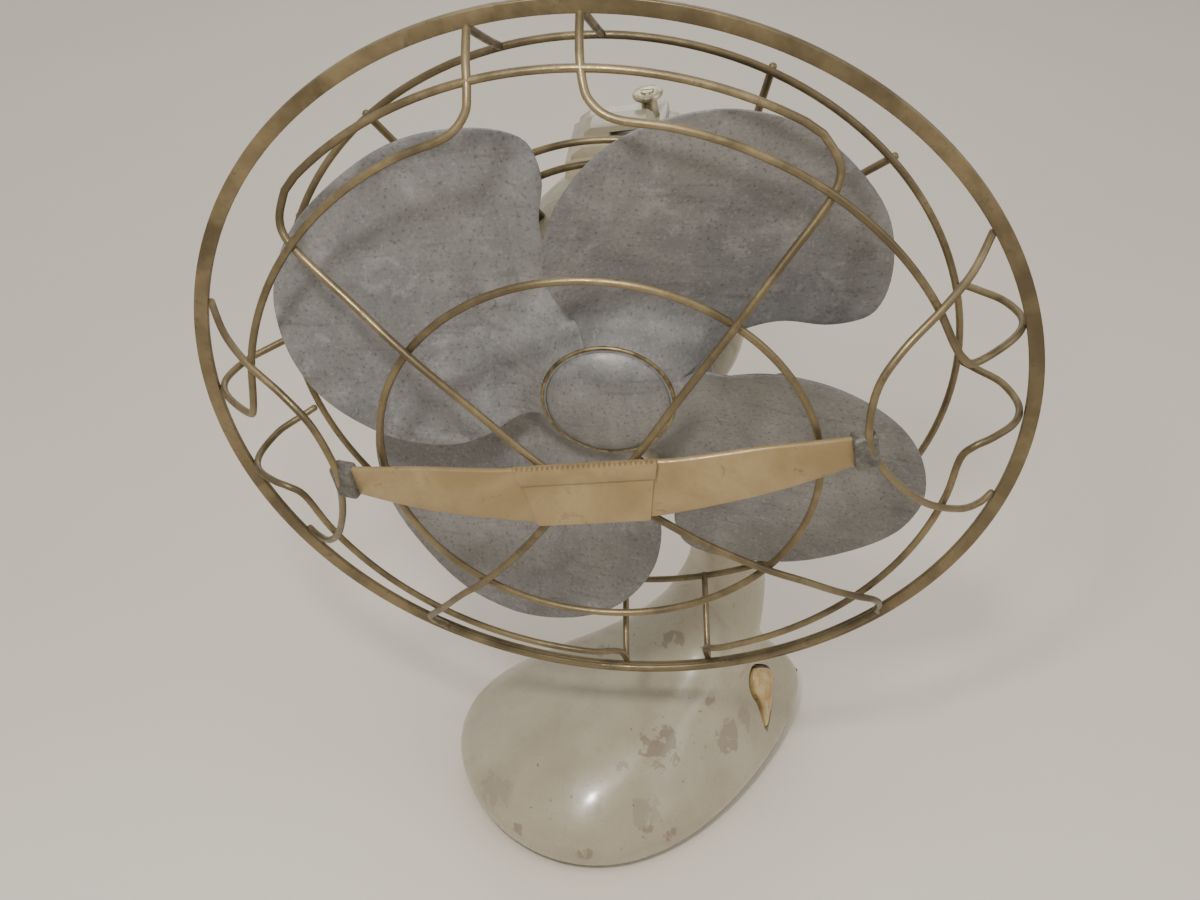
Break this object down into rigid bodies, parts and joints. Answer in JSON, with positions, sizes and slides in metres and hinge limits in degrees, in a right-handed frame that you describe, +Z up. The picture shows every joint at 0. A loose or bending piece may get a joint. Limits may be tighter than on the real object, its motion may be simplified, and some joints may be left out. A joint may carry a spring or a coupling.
{
  "type": "desk fan",
  "caption": "Desk fan with a pebble-shaped base, a swan neck, a tilting and swivelling motor head, broad rounded blades and a welded wire guard.",
  "frame": {"origin": "middle of the base's footprint, on the surface that it stands on", "axes": "+Z up, -Y towards the front of the base, +X to the side with the switch lever"},
  "size_m": [0.2576, 0.3313, 0.4869],
  "materials": {
    "enamel": "aged cream-grey stove enamel with brown stains",
    "bronze_lacquer": "bronze lacquer on steel wire, worn and rusty in places",
    "oxidised_blade": "dull mottled grey oxidised sheet",
    "bar_gold": "golden lacquer, worn at the edges",
    "dark_plastic": "dark grey, dull",
    "amber_plastic": "glossy ivory aged to amber",
    "steel": "plain zinc-plated steel",
    "chrome": "dulled chrome",
    "copper": "enamelled copper wire",
    "brass": "dull brass",
    "felt": "dark pressed felt",
    "lamination": "stacked iron laminations"
  },
  "bodies": {
    "stand": {"base_casting": "enamel", "base_plate": "steel", "base_plate_screws": "steel", "base_pad": "felt", "cord_gland": "dark_plastic", "slot_liner": "dark_plastic", "switch_box": "dark_plastic", "choke_core": "lamination", "choke_winding": "copper", "capacitor": "steel", "tilt_bolt": "steel", "tilt_nut": "steel"},
    "yoke": {"tilt_bracket": "enamel", "swivel_post": "steel", "link_stud": "steel"},
    "link": {"link_arm": "steel"},
    "rotor": {"rotor_shaft": "steel", "rotor_core": "lamination", "blade_hub": "oxidised_blade", "blade_1": "oxidised_blade", "blade_2": "oxidised_blade", "blade_3": "oxidised_blade", "blade_4": "oxidised_blade", "spinner_cap": "oxidised_blade", "spinner_ring": "brass"},
    "reducer": {"worm_wheel": "brass"},
    "crank": {"crank_gear": "steel"},
    "clutch": {"clutch_knob": "chrome", "clutch_screw": "chrome"},
    "lever": {"switch_lever": "amber_plastic"},
    "head": {"motor_front_shell": "enamel", "motor_rear_shell": "enamel", "shell_screws": "steel", "stator_core": "lamination", "stator_winding": "copper", "front_bearing": "brass", "rear_bearing": "brass", "swivel_socket": "enamel", "gearbox_housing": "enamel", "gearbox_cover": "enamel", "guard_flat_ring": "bronze_lacquer", "guard_mid_ring": "bronze_lacquer", "guard_rear_ring": "bronze_lacquer", "guard_rear_upper_wires": "bronze_lacquer", "guard_rear_lower_wires": "bronze_lacquer", "guard_brackets": "bronze_lacquer", "guard_upper_loop": "bronze_lacquer", "guard_lower_loop": "bronze_lacquer", "guard_upper_side_wires": "bronze_lacquer", "guard_lower_side_wires": "bronze_lacquer", "guard_side_loops": "bronze_lacquer", "guard_struts": "bronze_lacquer", "guard_screws": "steel", "emblem_bar": "bar_gold", "bar_end_clips": "dark_plastic", "bar_back_plate": "bronze_lacquer"}
  },
  "joints": [
    {"name": "head_tilt", "type": "hinge", "parent": "stand", "child": "yoke", "pos_m": [0, -0.0017, 0.2273], "axis": [1, 0, 0], "range_deg": [-35, 10]},
    {"name": "head_swivel", "type": "hinge", "parent": "yoke", "child": "head", "pos_m": [0, -0.0017, 0.2273], "axis": [0, -0.2334, 0.9724], "range_deg": [-104, 0]},
    {"name": "rotor_spin", "type": "hinge", "parent": "head", "child": "rotor", "pos_m": [0.06619, -0.0744, 0.30857], "axis": [-0.788, 0.5987, 0.1437], "continuous": true},
    {"name": "reducer_spin", "type": "hinge", "parent": "head", "child": "reducer", "pos_m": [-0.02359, 0.01602, 0.33028], "axis": [0, -0.2334, 0.9724], "continuous": true},
    {"name": "crank_spin", "type": "hinge", "parent": "head", "child": "crank", "pos_m": [-0.02758, 0.00851, 0.27706], "axis": [0, -0.2334, 0.9724], "continuous": true},
    {"name": "link_swing", "type": "hinge", "parent": "yoke", "child": "link", "pos_m": [-0.023, -0.00917, 0.25842], "axis": [0, -0.2334, 0.9724], "range_deg": [-79.04, 0]},
    {"name": "clutch_push", "type": "slide", "parent": "head", "child": "clutch", "axis": [0, -0.2334, 0.9724], "range_m": [-0.008, 0]},
    {"name": "speed_lever", "type": "hinge", "parent": "stand", "child": "lever", "pos_m": [0.03966, 0.05615, 0.03214], "axis": [0.7423, 0.4286, 0.515], "range_deg": [0, 7]}
  ],
  "couplings": [
    {"joint": "reducer_spin", "follows": "rotor_spin", "ratio": 0.033333},
    {"joint": "crank_spin", "follows": "rotor_spin", "ratio": -0.008333},
    {"joint": "link_swing", "follows": "head_swivel", "ratio": 0.76}
  ]
}
